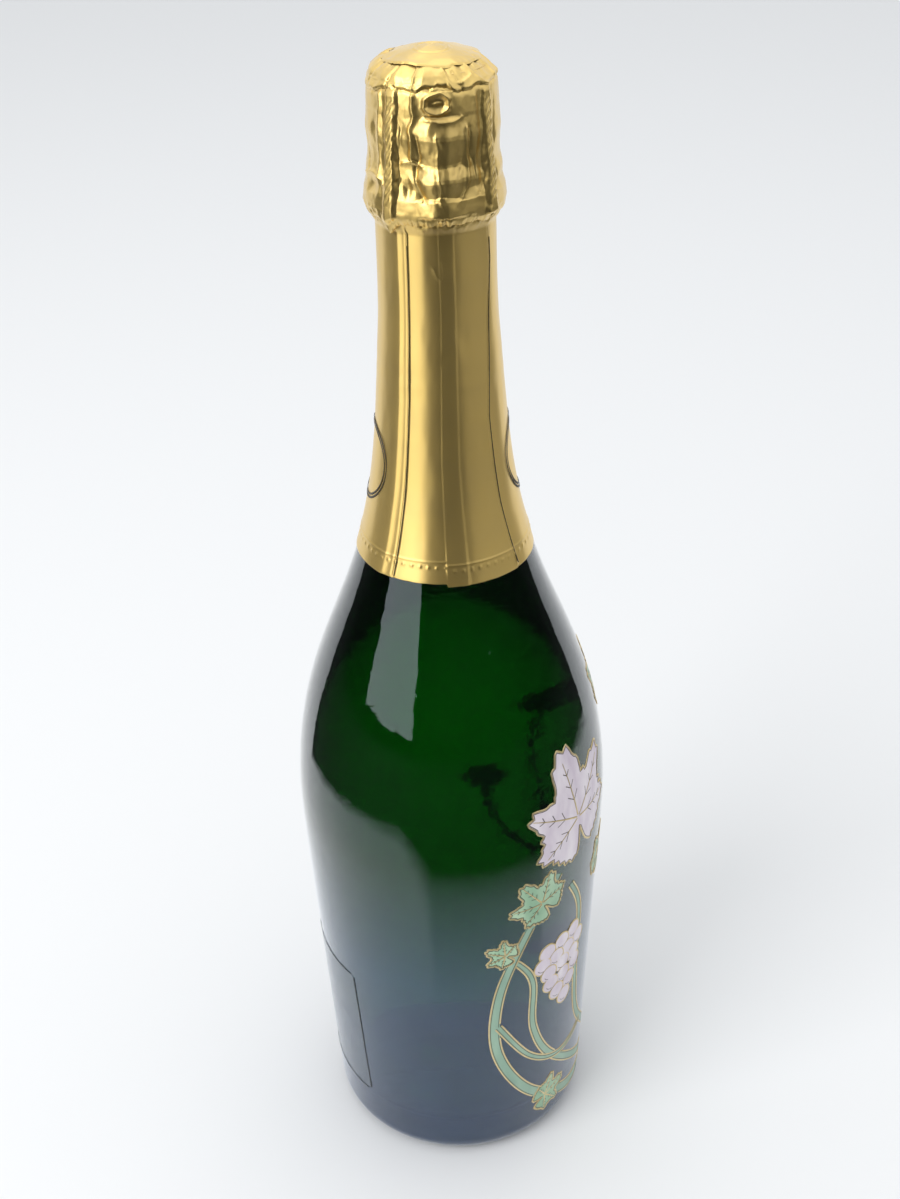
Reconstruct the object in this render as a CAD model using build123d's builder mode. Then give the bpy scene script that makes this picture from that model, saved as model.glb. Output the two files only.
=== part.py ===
from build123d import *
import os
from math import cos, degrees, exp, radians, sin

# Champagne bottle, 75 cl, closed as it leaves the cellar. From the inside out it is the
# glass bottle, the wine, a cork in three layers, a wire cage with its cap, and a foil
# capsule in three sheets. Millimetres, +Z up, origin at the middle of the base. The side
# that faces -Y is the front, and the label is at the back, towards +Y.

# Glass bottle
BOTTLE_HEIGHT = 309.0
BODY_DIAMETER = 90.0
WIDEST_HEIGHT = 124.0
BODY_TAPER = 11.3
TAPER_TOP_STEP = 1.2
TAPER_TOP_DROP = 19.0
NECK_DIAMETER = 28.5
BODY_WALL = 4.8
HEEL_ROUND = 7.0
FOOT_WIDTH = 10.85
PUNT_DEPTH = 34.0
PUNT_GLASS = 8.0
FLOOR_HEIGHT = 12.0
FLOOR_CORNER = 6.0

# Mouth of the bottle
BORE_DIAMETER = 17.5
LIP_DIAMETER = 28.6
LIP_HEIGHT = 4.8
LIP_ROUND = 1.2
MOUTH_ROUND = 1.0
RING_DIAMETER = 32.0
RING_DROP = 5.6
RING_HEIGHT = 5.2
RING_ROUND = 1.4
NECK_RUN = 3.3
WAIST_DIAMETER = 26.0

# Shoulder: each point's height from the widest ring to the neck, and its radius
# between the neck's and the body's
SHOULDER_HEIGHT_SHARES = (0.216, 0.407, 0.605, 0.796)
SHOULDER_RADIUS_SHARES = (0.815, 0.412, 0.132, 0.035)
PUNT_RADIUS_SHARE = 0.66
PUNT_RISE_SHARE = 0.56

# Wine
FILL_DROP = 77.0
WINE_GAP = 0.05

# Cork
CORK_DIAMETER = 28.0
CORK_INSERTED = 24.0
CORK_HEAD = 22.9
CORK_SHOULDER = 7.4
CORK_FIT = 0.05
CORK_FLARE = 4.0
CORK_DISC = 5.5
CORK_DISC_CHAMFER = 0.6
CORK_SEAT = 0.1

# Wire cage: a frame with legs, the belt wire with its key, and the cap
LEG_COUNT = 4
FIRST_LEG_ANGLE = 47.5
LEG_RISE = 26.0
FRAME_WIRE = 0.8
FRAME_PITCH = 9.6
LINK_WIRE = 1.0
LINK_BEND = 0.9
BELT_WIRE = 1.0
BELT_PITCH = 12.0
WIRE_SIDES = 6
STRAND_REACH_SHARE = 0.8
STRAND_SIDES = 4
WIRE_GAP = 0.1
RING_CLEARANCE = 0.35
EYE_GAP = 0.05
KEY_ANGLE = 180.0
KEY_LOOP = 7.3
KEY_ROOT_WIRE = 1.5
CAP_DIAMETER = 26.8
CAP_DOME_DIAMETER = 24.4
CAP_DOME = 3.3
CAP_SHEET = 0.3
RIM_WIRE_DIAMETER = 28.2
RIM_WIRE_DROP = 5.2

# Foil capsule: the skirt on the neck, and the hood that tears off, which is a crown and a disc
FOIL = 0.3
FOIL_GAP = 0.1
SKIRT_LENGTH = 91.5
PLEAT_COUNT = 4
FIRST_PLEAT_ANGLE = 50.0
PLEAT_ANGLE = 5.0
PLEAT_RISE = 0.3
SEAM_ANGLE = 175.5
SEAM_OVERLAP_ANGLE = 15.0
SEAM_RISE = 0.15
SEAM_DROP = 0.9
TEAR_GAP = 0.3
CROWN_FOIL = 0.35
CROWN_POINTS = 36
HEM_DRAPE = 1.75
HEM_RISE = 1.1
RING_DRAPE = 1.0
LIP_DRAPE = 1.4
RIM_DRAPE = 0.2
RIM_LOBE_SHARE = 0.4
CORK_MIDDLE_SHARE = 0.33
LOBE_GAP = 0.15
LEG_LOBE_ANGLE = 9.0
KEY_LOBE_ANGLE = 21.0
HOOD_DISC_DIAMETER = 28.0

# Back label
LABEL_ANGLE = 90.0
LABEL_WIDTH = 57.0
LABEL_HEIGHT = 51.0
LABEL_BOTTOM = 18.8
LABEL_SHEET = 0.1
LABEL_GAP = 0.03
LABEL_CORNER = 2.0

# What follows from those sizes
body_r = BODY_DIAMETER / 2
base_r = (BODY_DIAMETER - BODY_TAPER) / 2
taper_r = (BODY_DIAMETER - TAPER_TOP_STEP) / 2
neck_r = NECK_DIAMETER / 2
bore_r = BORE_DIAMETER / 2
lip_r = LIP_DIAMETER / 2
ring_r = RING_DIAMETER / 2
waist_r = WAIST_DIAMETER / 2
punt_r = base_r - FOOT_WIDTH
cork_r = CORK_DIAMETER / 2
cap_r = CAP_DIAMETER / 2
dome_r = CAP_DOME_DIAMETER / 2
rim_wire_r = RIM_WIRE_DIAMETER / 2
strand = FRAME_WIRE / 2
belt_strand = BELT_WIRE / 2

taper_top = WIDEST_HEIGHT - TAPER_TOP_DROP
lip_bottom = BOTTLE_HEIGHT - LIP_HEIGHT
ring_top = BOTTLE_HEIGHT - RING_DROP
ring_bottom = ring_top - RING_HEIGHT
neck_top = ring_bottom - NECK_RUN
fill_height = BOTTLE_HEIGHT - FILL_DROP
cork_bottom = BOTTLE_HEIGHT - CORK_INSERTED
cork_top = BOTTLE_HEIGHT + CORK_HEAD
cap_top = cork_top + CORK_SEAT + CAP_SHEET
cap_edge = cap_top - CAP_DOME
rim_wire_z = cork_top - RIM_WIRE_DROP
dome_ball = (dome_r**2 + CAP_DOME**2) / 2 / CAP_DOME


def shoulder_points(inner_end, outer_end, proud):
    """The shoulder's points, between a neck radius and a body radius."""
    rise = neck_top - WIDEST_HEIGHT
    points = [(taper_r + outer_end - body_r + proud, taper_top)]
    points.append((outer_end + proud, WIDEST_HEIGHT))
    for up, out in zip(SHOULDER_HEIGHT_SHARES, SHOULDER_RADIUS_SHARES):
        radius = inner_end + (outer_end - inner_end) * out + proud
        points.append((radius, WIDEST_HEIGHT + rise * up))
    points.append((inner_end + proud, neck_top))
    return points


taper_direction = (taper_r - base_r, taper_top)
up_direction = (0, 1)


def glass_radius(height):
    """The glass's outer radius on the tapered side, below the shoulder."""
    return base_r + (taper_r - base_r) * height / taper_top


def draw_cavity(gap, top):
    """Half of the hollow's section up to a height, drawn in by a gap."""
    points = shoulder_points(bore_r, body_r - BODY_WALL, -gap)
    floor_top = PUNT_DEPTH + PUNT_GLASS + gap
    side = glass_radius(FLOOR_HEIGHT + FLOOR_CORNER) - BODY_WALL
    wall = (side - gap, FLOOR_HEIGHT + FLOOR_CORNER)
    trough = (side - FLOOR_CORNER, FLOOR_HEIGHT + gap)
    middle = (trough[0] * PUNT_RADIUS_SHARE, trough[1] + (floor_top - trough[1]) * PUNT_RISE_SHARE)
    Spline((0, floor_top), middle, trough, tangents=((1, 0), (1, 0)))
    RadiusArc(trough, wall, gap - FLOOR_CORNER)
    Line(wall, points[0])
    Spline(*points, tangents=(taper_direction, up_direction))
    Polyline(points[-1], (points[-1][0], top), (0, top), (0, floor_top))


# The bottle is turned from one section: the outer outline less the punt and the hollow.
with BuildPart() as bottle:
    with BuildSketch(Plane.XZ) as section:
        with BuildLine():
            Polyline((0, 0), (base_r, 0), (taper_r, taper_top))
            Spline(*shoulder_points(neck_r, body_r, 0), tangents=(taper_direction, up_direction))
            Polyline(
                (neck_r, neck_top),
                (neck_r, ring_bottom),
                (ring_r, ring_bottom),
                (ring_r, ring_top),
                (waist_r, ring_top),
                (waist_r, lip_bottom),
                (lip_r, lip_bottom),
                (lip_r, BOTTLE_HEIGHT),
                (0, BOTTLE_HEIGHT),
                (0, 0),
            )
        make_face()
        with BuildLine():
            middle = (punt_r * PUNT_RADIUS_SHARE, PUNT_DEPTH * PUNT_RISE_SHARE)
            Spline((punt_r, 0), middle, (0, PUNT_DEPTH), tangents=((-1, 1), (-1, 0)))
            Polyline((0, PUNT_DEPTH), (0, 0), (punt_r, 0))
        make_face(mode=Mode.SUBTRACT)
        with BuildLine():
            draw_cavity(0, BOTTLE_HEIGHT)
        make_face(mode=Mode.SUBTRACT)
        rounds = (
            ((base_r, 0), HEEL_ROUND),
            ((ring_r, ring_bottom), RING_ROUND),
            ((ring_r, ring_top), RING_ROUND),
            ((lip_r, lip_bottom), LIP_ROUND),
            ((lip_r, BOTTLE_HEIGHT), LIP_ROUND),
            ((bore_r, BOTTLE_HEIGHT), MOUTH_ROUND),
        )
        for corner, radius in rounds:
            fillet(section.vertices().sort_by_distance((*corner, 0))[0], radius)
    revolve(axis=Axis.Z)
bottle.part.label = "bottle"

# The wine fills the hollow up to its level in the neck.
with BuildPart() as wine:
    with BuildSketch(Plane.XZ):
        with BuildLine():
            draw_cavity(WINE_GAP, BOTTLE_HEIGHT)
        make_face()
        with Locations((0, fill_height)):
            Rectangle(BODY_DIAMETER, BOTTLE_HEIGHT, align=(Align.MIN, Align.MIN), mode=Mode.SUBTRACT)
    revolve(axis=Axis.Z)
wine.part.label = "wine"


# The cork is a mushroom of pressed granules on two discs of whole cork, which face the wine.
shank_r = bore_r - CORK_FIT
seat = BOTTLE_HEIGHT + CORK_SEAT
shank_bottom = cork_bottom + 2 * CORK_DISC
with BuildPart() as cork_body:
    with BuildSketch(Plane.XZ) as section:
        with BuildLine():
            Polyline((0, cork_top), (0, shank_bottom), (shank_r, shank_bottom), (shank_r, seat))
            Spline((shank_r, seat), (cork_r, seat + CORK_FLARE), tangents=((1, 0), up_direction))
            Line((cork_r, seat + CORK_FLARE), (cork_r, cork_top - CORK_SHOULDER))
            dome_edge = (dome_r, cork_top - CAP_DOME)
            dome_slope = (-dome_ball + CAP_DOME, dome_r)
            Spline((cork_r, cork_top - CORK_SHOULDER), dome_edge, tangents=(up_direction, dome_slope))
            RadiusArc(dome_edge, (0, cork_top), -dome_ball)
        make_face()
    revolve(axis=Axis.Z)
cork_body.part.label = "cork_body"

with BuildPart() as cork_disc_upper:
    with BuildSketch(Plane.XY.offset(cork_bottom + CORK_DISC)):
        Circle(shank_r)
    extrude(amount=CORK_DISC)
cork_disc_upper.part.label = "cork_disc_upper"

with BuildPart() as cork_disc_lower:
    with BuildSketch(Plane.XY.offset(cork_bottom)):
        Circle(shank_r)
    extrude(amount=CORK_DISC)
    chamfer(cork_disc_lower.edges().group_by(Axis.Z)[0], CORK_DISC_CHAMFER)
cork_disc_lower.part.label = "cork_disc_lower"

# The cap is a stamped tin plate, domed like the cork's head, with a flat brim.
with BuildPart() as cage_cap:
    with BuildSketch(Plane.XZ) as section:
        with BuildLine():
            RadiusArc((0, cap_top), (dome_r, cap_edge), dome_ball)
            Polyline((dome_r, cap_edge), (cap_r, cap_edge), (cap_r, cap_edge - CAP_SHEET))
            Line((cap_r, cap_edge - CAP_SHEET), (dome_r, cap_edge - CAP_SHEET))
            RadiusArc((dome_r, cap_edge - CAP_SHEET), (0, cap_top - CAP_SHEET), -dome_ball)
            Line((0, cap_top - CAP_SHEET), (0, cap_top))
        make_face()
    revolve(axis=Axis.Z)
cage_cap.part.label = "cage_cap"

# The frame's wire runs round the cork's shoulder, under the brim.
with BuildPart() as cage_rim_wire:
    with BuildSketch(Plane.XZ):
        with Locations((rim_wire_r, rim_wire_z)):
            RegularPolygon(strand, WIRE_SIDES)
    revolve(axis=Axis.Z)
cage_rim_wire.part.label = "cage_rim_wire"


def twisted_pair(low, high, wire_r, pitch):
    """Two strands of wire twisted round the straight line between two points."""
    along = high - low
    with BuildPart() as pair:
        with BuildLine():
            core = Line(low, high)
        with BuildSketch(Plane(low, x_dir=(0, 1, 0), z_dir=along.normalized())):
            with GridLocations(2 * wire_r * STRAND_REACH_SHARE, 0, 2, 1):
                RegularPolygon(wire_r, STRAND_SIDES)
        guide = Helix(pitch, along.length, wire_r, center=low, direction=along, mode=Mode.PRIVATE)
        sweep(path=core, binormal=guide)
    return pair.part


def bent_wire(points, bend, wire_r):
    """A round wire along straight runs that arcs join."""
    with BuildPart() as wire:
        with BuildLine():
            path = FilletPolyline(*points, radius=bend)
        with BuildSketch(Plane(path @ 0, z_dir=path % 0)):
            RegularPolygon(wire_r, WIRE_SIDES)
        sweep(path=path)
    return wire.part


def straight_wire(low, high, wire_r):
    """A straight wire between two points."""
    along = high - low
    with BuildPart() as wire:
        with BuildSketch(Plane(low, z_dir=along.normalized())):
            RegularPolygon(wire_r, WIRE_SIDES)
        extrude(amount=along.length)
    return wire.part


# A leg is a twisted pair from the rim wire down the cork and over the glass ring. It ends
# under the ring in an eye, which the belt wire runs through. It is made on the +X side.
eye_r = belt_strand + EYE_GAP + strand
belt_r = neck_r + WIRE_GAP + strand + eye_r
belt_z = ring_bottom - WIRE_GAP - strand - eye_r
pair_r = strand * (1 + STRAND_REACH_SHARE)
leg_foot = Vector(ring_r + RING_CLEARANCE + pair_r, 0, ring_bottom)
leg_head = Vector(cork_r + WIRE_GAP + pair_r, 0, ring_bottom + LEG_RISE)
leg_lean = (leg_head - leg_foot).normalized() * FRAME_WIRE
with BuildPart() as first_leg:
    add(twisted_pair(leg_foot, leg_head, strand, FRAME_PITCH))
    rim_end = Vector(rim_wire_r + strand, 0, rim_wire_z - strand - LINK_WIRE / 2)
    add(straight_wire(leg_head - leg_lean, rim_end, LINK_WIRE / 2))
    eye_top = Vector(belt_r + eye_r + WIRE_GAP, 0, belt_z)
    add(straight_wire(eye_top, leg_foot + leg_lean, LINK_WIRE / 2))
    with BuildSketch(Plane.XY.offset(belt_z)):
        with Locations((belt_r + eye_r, 0)):
            RegularPolygon(strand, WIRE_SIDES)
    revolve(axis=Axis((belt_r, 0, belt_z), (0, 1, 0)))

cage_legs = []
for index in range(LEG_COUNT):
    with BuildPart() as leg:
        add(first_leg.part.rotate(Axis.Z, FIRST_LEG_ANGLE + index * 360 / LEG_COUNT))
    leg.part.label = "cage_leg_" + str(index + 1)
    cage_legs.append(leg)

# The belt wire's two ends are twisted into a stem, which ends in the loop that opens the cage.
# The stem is folded up against the cork.
key_pair_r = belt_strand * (1 + STRAND_REACH_SHARE)
loop_r = KEY_LOOP / 2 - belt_strand
loop_z = rim_wire_z - strand - WIRE_GAP - KEY_LOOP / 2
key_foot = Vector(ring_r + RING_CLEARANCE + key_pair_r, 0, ring_bottom)
key_head = Vector(cork_r + WIRE_GAP + key_pair_r, 0, loop_z - loop_r)
key_lean = (key_head - key_foot).normalized() * BELT_WIRE
with BuildPart() as key:
    add(twisted_pair(key_foot, key_head, belt_strand, BELT_PITCH))
    root = ((belt_r, 0, belt_z), (key_foot.X, 0, belt_z), key_foot + key_lean)
    add(bent_wire(root, LINK_BEND, KEY_ROOT_WIRE / 2))
    loop_x = cork_r + WIRE_GAP + belt_strand
    with BuildSketch(Plane.XZ):
        with Locations((loop_x, loop_z - loop_r)):
            RegularPolygon(belt_strand, WIRE_SIDES)
    revolve(axis=Axis((loop_x, 0, loop_z), (1, 0, 0)))

with BuildPart() as cage_belt:
    with BuildSketch(Plane.XZ):
        with Locations((belt_r, belt_z)):
            RegularPolygon(belt_strand, WIRE_SIDES)
    revolve(axis=Axis.Z)
    add(key.part.rotate(Axis.Z, KEY_ANGLE))
cage_belt.part.label = "cage_belt"


def side_plane(angle):
    """The upright plane through the bottle's axis at an angle from +X."""
    out = Vector(1, 0, 0).rotate(Axis.Z, angle)
    back = Vector(0, -1, 0).rotate(Axis.Z, angle)
    return Plane((0, 0, 0), x_dir=out, z_dir=back)


def foil_section(angle, inside, thickness, bottom):
    """The section, at an angle, of a foil that follows the neck at a distance from the glass."""
    near = shoulder_points(neck_r, body_r, inside)
    far = shoulder_points(neck_r, body_r, inside + thickness)
    with BuildSketch(side_plane(angle)) as section:
        with BuildLine():
            Spline(*near, tangents=(taper_direction, up_direction))
            Line(near[-1], far[-1])
            Spline(*far, tangents=(taper_direction, up_direction))
            Line(near[0], far[0])
        make_face()
        with Locations((0, bottom)):
            Rectangle(BODY_DIAMETER, BOTTLE_HEIGHT, align=(Align.MIN, Align.MIN), mode=Mode.INTERSECT)
    return section.sketch


# The skirt is a sheet wrapped round the neck. Its edge laps over itself at the seam, hangs a
# little lower there, and the slack is pressed into four flat pleats.
skirt_bottom = neck_top - SKIRT_LENGTH
with BuildPart() as foil_skirt:
    revolve(foil_section(0, FOIL_GAP, FOIL, skirt_bottom), axis=Axis.Z)
    for index in range(PLEAT_COUNT):
        start = FIRST_PLEAT_ANGLE + index * 360 / PLEAT_COUNT - PLEAT_ANGLE / 2
        pleat = foil_section(start, FOIL_GAP + FOIL / 2, FOIL / 2 + PLEAT_RISE, skirt_bottom)
        revolve(pleat, axis=Axis.Z, revolution_arc=PLEAT_ANGLE)
    lap = foil_section(SEAM_ANGLE, FOIL_GAP + FOIL / 2, FOIL / 2 + SEAM_RISE, skirt_bottom - SEAM_DROP)
    revolve(lap, axis=Axis.Z, revolution_arc=SEAM_OVERLAP_ANGLE)
foil_skirt.part.label = "foil_skirt"

# The crown's foil is pressed onto the cage, so it stands out in a lobe over each leg and over
# the key. Each level has a height, an inner radius and the share of the lobes that shows.
crown_bottom = neck_top + TEAR_GAP
crown_top = cap_edge - CAP_SHEET
crown_waist = rim_wire_r + strand + RIM_DRAPE
crown_levels = (
    (crown_bottom, neck_r + HEM_DRAPE, 0),
    (crown_bottom + HEM_RISE, ring_r + RING_DRAPE, 1),
    (ring_top, ring_r + RING_DRAPE, 1),
    (BOTTLE_HEIGHT, lip_r + LIP_DRAPE, 1),
    (BOTTLE_HEIGHT + CORK_HEAD * CORK_MIDDLE_SHARE, crown_waist, 1),
    (loop_z, crown_waist, 1),
    (rim_wire_z, crown_waist, RIM_LOBE_SHARE),
    (crown_top, cap_r + RIM_DRAPE, 0),
)


def line_out(foot, head, half, height):
    """How far a leaning wire reaches from the axis at a height."""
    share = min(max((height - foot.Z) / (head.Z - foot.Z), 0), 1)
    return foot.X + (head.X - foot.X) * share + half


def crown_radius(angle, height, drape, lobe_share):
    """The crown's inner radius at an angle and a height."""
    radius = drape
    leg_out = line_out(leg_foot, leg_head, pair_r, height) + LOBE_GAP
    for index in range(LEG_COUNT):
        away = (angle - FIRST_LEG_ANGLE - index * 360 / LEG_COUNT + 180) % 360 - 180
        radius += (leg_out - drape) * lobe_share * exp(-((away / LEG_LOBE_ANGLE) ** 2))
    key_out = line_out(key_foot, key_head, key_pair_r, height) + LOBE_GAP
    away = (angle - KEY_ANGLE + 180) % 360 - 180
    radius += (key_out - drape) * lobe_share * exp(-((away / KEY_LOBE_ANGLE) ** 4))
    return radius


def crown_face(level, proud):
    """One level of the crown as a closed smooth outline."""
    height, drape, lobe_share = level
    points = []
    for index in range(CROWN_POINTS):
        angle = index * 360 / CROWN_POINTS
        radius = crown_radius(angle, height, drape, lobe_share) + proud
        points.append((radius * cos(radians(angle)), radius * sin(radians(angle))))
    with BuildSketch(Plane.XY.offset(height)) as outline:
        with BuildLine():
            Spline(*points, periodic=True)
        make_face()
    return outline.sketch


with BuildPart() as foil_crown:
    loft([crown_face(level, CROWN_FOIL) for level in crown_levels])
    loft([crown_face(level, 0) for level in crown_levels], mode=Mode.SUBTRACT)
foil_crown.part.label = "foil_crown"

# A separate disc of foil lies on the cap, with its edge turned down onto the crown.
disc_r = HOOD_DISC_DIAMETER / 2
disc_top = cap_top + FOIL_GAP + FOIL
disc_edge = disc_top - CAP_DOME
disc_bottom = crown_top + EYE_GAP
with BuildPart() as foil_top_disc:
    with BuildSketch(Plane.XZ) as section:
        with BuildLine():
            RadiusArc((0, disc_top), (dome_r, disc_edge), dome_ball)
            Polyline((dome_r, disc_edge), (disc_r, disc_edge), (disc_r, disc_bottom))
            Polyline((disc_r, disc_bottom), (disc_r - FOIL, disc_bottom), (disc_r - FOIL, disc_edge - FOIL))
            Line((disc_r - FOIL, disc_edge - FOIL), (dome_r, disc_edge - FOIL))
            RadiusArc((dome_r, disc_edge - FOIL), (0, disc_top - FOIL), -dome_ball)
            Line((0, disc_top - FOIL), (0, disc_top))
        make_face()
    revolve(axis=Axis.Z)
foil_top_disc.part.label = "foil_top_disc"

# The back label is a clear film on the tapered side of the glass.
label_middle = LABEL_BOTTOM + LABEL_HEIGHT / 2
label_half_angle = degrees(LABEL_WIDTH / 2 / glass_radius(label_middle))
label_chord = 2 * glass_radius(label_middle) * sin(radians(label_half_angle))
with BuildPart() as back_label:
    with BuildSketch(side_plane(LABEL_ANGLE - 90)):
        with BuildLine():
            low = glass_radius(LABEL_BOTTOM) + LABEL_GAP
            high = glass_radius(LABEL_BOTTOM + LABEL_HEIGHT) + LABEL_GAP
            Polyline(
                (low, LABEL_BOTTOM),
                (low + LABEL_SHEET, LABEL_BOTTOM),
                (high + LABEL_SHEET, LABEL_BOTTOM + LABEL_HEIGHT),
                (high, LABEL_BOTTOM + LABEL_HEIGHT),
                (low, LABEL_BOTTOM),
            )
        make_face()
    revolve(axis=Axis.Z, revolution_arc=180)
    with BuildSketch(side_plane(LABEL_ANGLE - 90)):
        with Locations((0, label_middle)):
            RectangleRounded(label_chord, LABEL_HEIGHT, LABEL_CORNER)
    extrude(amount=-BODY_DIAMETER, mode=Mode.INTERSECT)
back_label.part.label = "back_label"

print("glass", round(bottle.part.volume), "mm3, wine", round(wine.part.volume), "mm3")
pieces = [bottle, wine, cork_body, cork_disc_upper, cork_disc_lower, cage_cap, cage_rim_wire]
pieces += cage_legs + [cage_belt, foil_skirt, foil_crown, foil_top_disc, back_label]
os.makedirs("parts", exist_ok=True)
for piece in pieces:
    export_step(piece.part, "parts/" + piece.part.label + ".step")
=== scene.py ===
# %% [markdown]
# # A bottle of champagne, from its CAD solids to a picture
# The imported model gives every piece its size and place. This file dresses it: dark green
# glass with wine behind it, a gold foil capsule pressed over a wire cage, a clear back
# label and a painted vine. The model's axis is Z, its front faces -Y, and its lengths are
# metres. Foil and enamel are worked out on grids in millimetres, because their marks are so
# small. We load the frame first.

# %% Load the frame
from math import cos, degrees, hypot, pi, radians, sin

import bpy
import numpy as np
from mathutils import Matrix, Vector
from mathutils.bvhtree import BVHTree
from mathutils.geometry import delaunay_2d_cdt


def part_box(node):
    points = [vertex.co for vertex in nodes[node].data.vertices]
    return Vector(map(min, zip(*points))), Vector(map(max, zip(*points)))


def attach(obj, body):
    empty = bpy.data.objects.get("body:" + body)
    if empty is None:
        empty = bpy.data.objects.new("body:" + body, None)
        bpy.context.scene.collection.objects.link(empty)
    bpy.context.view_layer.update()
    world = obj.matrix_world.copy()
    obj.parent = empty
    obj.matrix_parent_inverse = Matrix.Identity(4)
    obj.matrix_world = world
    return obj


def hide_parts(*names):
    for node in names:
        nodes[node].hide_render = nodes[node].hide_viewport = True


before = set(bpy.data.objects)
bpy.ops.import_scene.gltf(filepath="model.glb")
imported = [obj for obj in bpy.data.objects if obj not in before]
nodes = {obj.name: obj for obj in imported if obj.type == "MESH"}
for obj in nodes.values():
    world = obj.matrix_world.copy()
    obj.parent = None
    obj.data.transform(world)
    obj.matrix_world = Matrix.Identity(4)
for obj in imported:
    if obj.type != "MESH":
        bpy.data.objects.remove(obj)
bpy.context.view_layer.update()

MM = 0.001
scene = bpy.context.scene

# %% [markdown]
# ## The camera
# The photographer stood a little above the bottle and looked down at it. The camera's place
# is given as a distance from the bottle's axis, a height above the floor, and a compass
# angle round the bottle. From behind the camera the label is at the left and the painted
# front at the right. All this could be set by eye, but the numbers below were fitted to the
# bottle's two edges in the photograph. The lens comes from the focal length in pixels of a
# picture that is 1199 pixels tall.

# %% Place the camera
CAMERA_ANGLE = radians(175)
CAMERA_DISTANCE = 365.2 * MM
CAMERA_HEIGHT = 410.5 * MM
CAMERA_PITCH = radians(31.821)
CAMERA_YAW = radians(0.142)
CAMERA_ROLL = radians(-1.594)
FOCAL_PIXELS = 1545.8
PICTURE_HEIGHT = 1199
SENSOR = 36.0


def toward(angle, distance=1.0, height=0.0):
    """The point at an angle round the axis, a distance out from it and a height up."""
    return Vector((cos(angle) * distance, sin(angle) * distance, height))


camera_data = bpy.data.cameras.new("camera")
camera_data.sensor_width = SENSOR
camera_data.lens = FOCAL_PIXELS / PICTURE_HEIGHT * SENSOR
camera_data.clip_start = 0.01
camera = bpy.data.objects.new("camera", camera_data)
stand = Matrix.Translation(toward(CAMERA_ANGLE, CAMERA_DISTANCE, CAMERA_HEIGHT))
look = toward(CAMERA_ANGLE + pi - CAMERA_YAW, cos(CAMERA_PITCH), -sin(CAMERA_PITCH))
level = look.to_track_quat("-Z", "Y").to_matrix().to_4x4()
camera.matrix_world = stand @ level @ Matrix.Rotation(CAMERA_ROLL, 4, "Z")
scene.collection.objects.link(camera)
scene.camera = camera
scene.view_settings.view_transform = "Standard"
print("lens", round(camera_data.lens, 1), "mm on a sensor of", SENSOR, "mm")

# %% [markdown]
# ## A small language for finishes
# A finish is a graph of nodes. Written out node by node it is hard to read, so sums and
# products are written as Python expressions. A Field wraps one output socket, and each
# operator on it adds a Math node. Every other node comes from Finish.node, which takes the
# node's type, the settings that have to be made first, and what goes into its sockets.


# %% Fields and finishes
class Field:
    """A number, colour or vector that changes over a surface."""

    def __init__(self, finish, socket):
        self.finish = finish
        self.socket = socket

    def math(self, operation, *others):
        return self.finish.math(operation, self, *others)

    def __add__(self, other):
        return self.math("ADD", other)

    def __sub__(self, other):
        return self.math("SUBTRACT", other)

    def __mul__(self, other):
        return self.math("MULTIPLY", other)

    def __truediv__(self, other):
        return self.math("DIVIDE", other)

    def __radd__(self, other):
        return self.finish.math("ADD", other, self)

    def __rsub__(self, other):
        return self.finish.math("SUBTRACT", other, self)

    def __rmul__(self, other):
        return self.finish.math("MULTIPLY", other, self)

    def clamp(self):
        return self.math("MAXIMUM", 0.0).math("MINIMUM", 1.0)


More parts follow.
